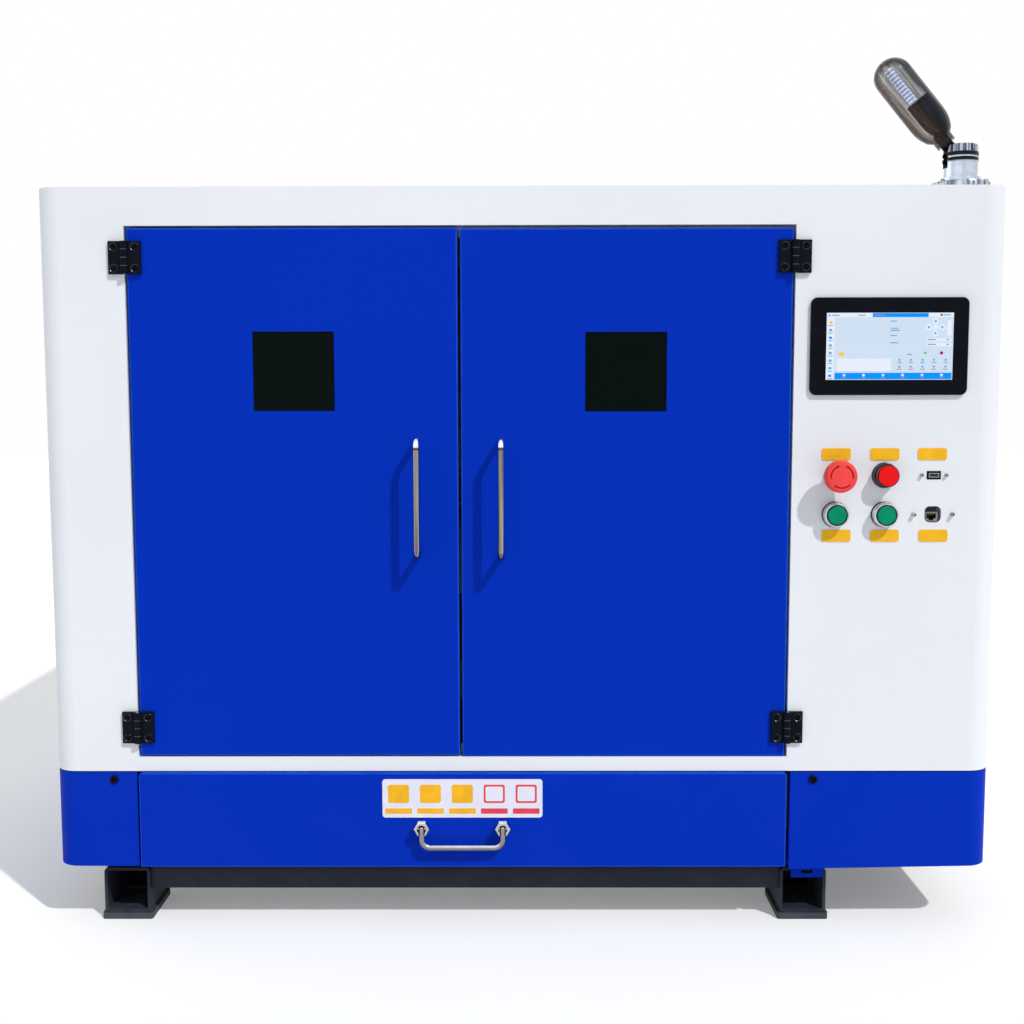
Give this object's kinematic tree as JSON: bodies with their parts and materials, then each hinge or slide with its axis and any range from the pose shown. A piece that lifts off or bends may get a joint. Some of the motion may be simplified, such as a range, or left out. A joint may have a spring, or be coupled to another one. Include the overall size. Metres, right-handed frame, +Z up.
{
  "type": "enclosed fiber laser cutting machine",
  "caption": "Compact enclosed sheet laser cutter: two hinged doors with filter windows, scrap drawer, operator panel, signal lamp, slatted bed and a driven gantry with a cutting head.",
  "frame": {"origin": "on the floor, under the middle of the body", "axes": "+X to the operator's right, +Y to the back, +Z up"},
  "size_m": [1.208, 1.072, 1.1032],
  "materials": {
    "white_paint": "satin powder coat",
    "blue_paint": "fine textured powder coat",
    "frame_grey": "satin paint",
    "hinge_black": "matte black coating",
    "chrome": "polished",
    "bright_steel": "ground",
    "slat_steel": "mill finish",
    "machined_aluminium": "anodised satin",
    "motor_black": "satin",
    "brass": "machined",
    "black_gloss": "gloss",
    "black_matte": "fine grain",
    "screen_glass": "glossy pale screen",
    "signal_red": "satin",
    "pilot_red": "gloss",
    "button_green": "satin",
    "label_yellow": "satin",
    "plaque_white": "satin",
    "reflector_white": "satin",
    "clear_lens": "clear",
    "window_glass": "dark green filter",
    "case_grey": "powder coat",
    "device_grey": "moulded"
  },
  "bodies": {
    "root": {"feet": "frame_grey", "base_frame": "frame_grey", "upper_frame": "frame_grey", "front_fascia": "white_paint", "side_panel_left": "white_paint", "side_panel_right": "white_paint", "top_panel": "white_paint", "rear_panel": "white_paint", "skirt_left": "blue_paint", "skirt_right": "blue_paint", "skirt_rear": "blue_paint", "cabinet_tray": "frame_grey", "body_screws": "bright_steel", "hinge_leaves": "hinge_black", "hinge_pins": "bright_steel", "display_housing": "black_gloss", "display_screen": "screen_glass", "stop_collar": "black_matte", "control_bezels": "bright_steel", "pilot_lens": "pilot_red", "usb_socket": "black_matte", "network_socket": "black_matte", "label_plates": "label_yellow", "lamp_base": "chrome", "exhaust_collar": "bright_steel", "rear_fittings": "brass", "bed_frame": "frame_grey", "bed_slats": "slat_steel", "y_rails": "bright_steel", "y_motors": "motor_black", "laser_source": "case_grey", "control_plate": "device_grey", "drawer_slides": "slat_steel"},
    "door_left": {"door_left_panel": "blue_paint", "door_left_window": "window_glass", "door_left_handle": "chrome", "door_left_fixings": "hinge_black"},
    "door_right": {"door_right_panel": "blue_paint", "door_right_window": "window_glass", "door_right_handle": "chrome", "door_right_fixings": "hinge_black"},
    "drawer": {"drawer_front": "blue_paint", "drawer_tray": "slat_steel", "drawer_plaque": "plaque_white", "bail_bosses": "chrome"},
    "bail": {"drawer_bail": "chrome"},
    "gantry": {"gantry_beam": "machined_aluminium", "gantry_drive": "bright_steel"},
    "carriage": {"carriage": "machined_aluminium"},
    "head": {"cutting_head": "machined_aluminium"},
    "y_screw_left": {"y_screw_left": "bright_steel"},
    "y_screw_right": {"y_screw_right": "bright_steel"},
    "x_screw": {"x_screw": "bright_steel"},
    "stop_stem": {"stop_stem": "black_matte"},
    "stop_head": {"stop_head": "signal_red"},
    "button_left": {"button_cap_left": "button_green"},
    "button_right": {"button_cap_right": "button_green"},
    "lamp_head": {"lamp_holder": "black_matte", "lamp_reflector": "reflector_white", "lamp_lens": "clear_lens"}
  },
  "joints": [
    {"name": "door_left_swing", "type": "hinge", "parent": "root", "child": "door_left", "pos_m": [-0.4875, -0.505, 0.555], "axis": [0, 0, -1], "range_deg": [0, 170]},
    {"name": "door_right_swing", "type": "hinge", "parent": "root", "child": "door_right", "pos_m": [0.3355, -0.505, 0.555], "axis": [0, 0, 1], "range_deg": [0, 130]},
    {"name": "drawer_slide", "type": "slide", "parent": "root", "child": "drawer", "axis": [0, -1, 0], "range_m": [0, 0.45]},
    {"name": "bail_fold", "type": "hinge", "parent": "drawer", "child": "bail", "pos_m": [-0.076, -0.515, 0.1345], "axis": [-1, 0, 0], "range_deg": [-4, 90]},
    {"name": "gantry_slide", "type": "slide", "parent": "root", "child": "gantry", "axis": [0, -1, 0], "range_m": [0, 0.56]},
    {"name": "carriage_slide", "type": "slide", "parent": "gantry", "child": "carriage", "axis": [1, 0, 0], "range_m": [0, 0.66]},
    {"name": "head_slide", "type": "slide", "parent": "carriage", "child": "head", "axis": [0, 0, -1], "range_m": [0, 0.08]},
    {"name": "y_screw_left_turn", "type": "hinge", "parent": "root", "child": "y_screw_left", "pos_m": [-0.47, 0, 0.37], "axis": [0, 1, 0], "range_deg": [-10, 20170]},
    {"name": "y_screw_right_turn", "type": "hinge", "parent": "root", "child": "y_screw_right", "pos_m": [0.32, 0, 0.37], "axis": [0, 1, 0], "range_deg": [-10, 20170]},
    {"name": "x_screw_turn", "type": "hinge", "parent": "gantry", "child": "x_screw", "pos_m": [0, 0.238, 0.49], "axis": [-1, 0, 0], "range_deg": [-10, 23770]},
    {"name": "stop_press", "type": "slide", "parent": "root", "child": "stop_stem", "axis": [0, 1, 0], "range_m": [0, 0.004]},
    {"name": "stop_twist", "type": "hinge", "parent": "stop_stem", "child": "stop_head", "pos_m": [0.3909, -0.52, 0.582], "axis": [0, 1, 0], "range_deg": [0, 45], "stiffness_Nm_per_rad": 0.3},
    {"name": "button_left_press", "type": "slide", "parent": "root", "child": "button_left", "axis": [0, 1, 0], "range_m": [0, 0.003], "stiffness_N_per_m": 800},
    {"name": "button_right_press", "type": "slide", "parent": "root", "child": "button_right", "axis": [0, 1, 0], "range_m": [0, 0.003], "stiffness_N_per_m": 800},
    {"name": "lamp_fold", "type": "hinge", "parent": "root", "child": "lamp_head", "pos_m": [0.5555, -0.44, 0.975], "axis": [0, 1, 0], "range_deg": [-50, 40]}
  ],
  "couplings": [
    {"joint": "y_screw_left_turn", "follows": "gantry_slide", "rad_per_m": 628.32},
    {"joint": "y_screw_right_turn", "follows": "gantry_slide", "rad_per_m": 628.32},
    {"joint": "x_screw_turn", "follows": "carriage_slide", "rad_per_m": 628.32}
  ]
}
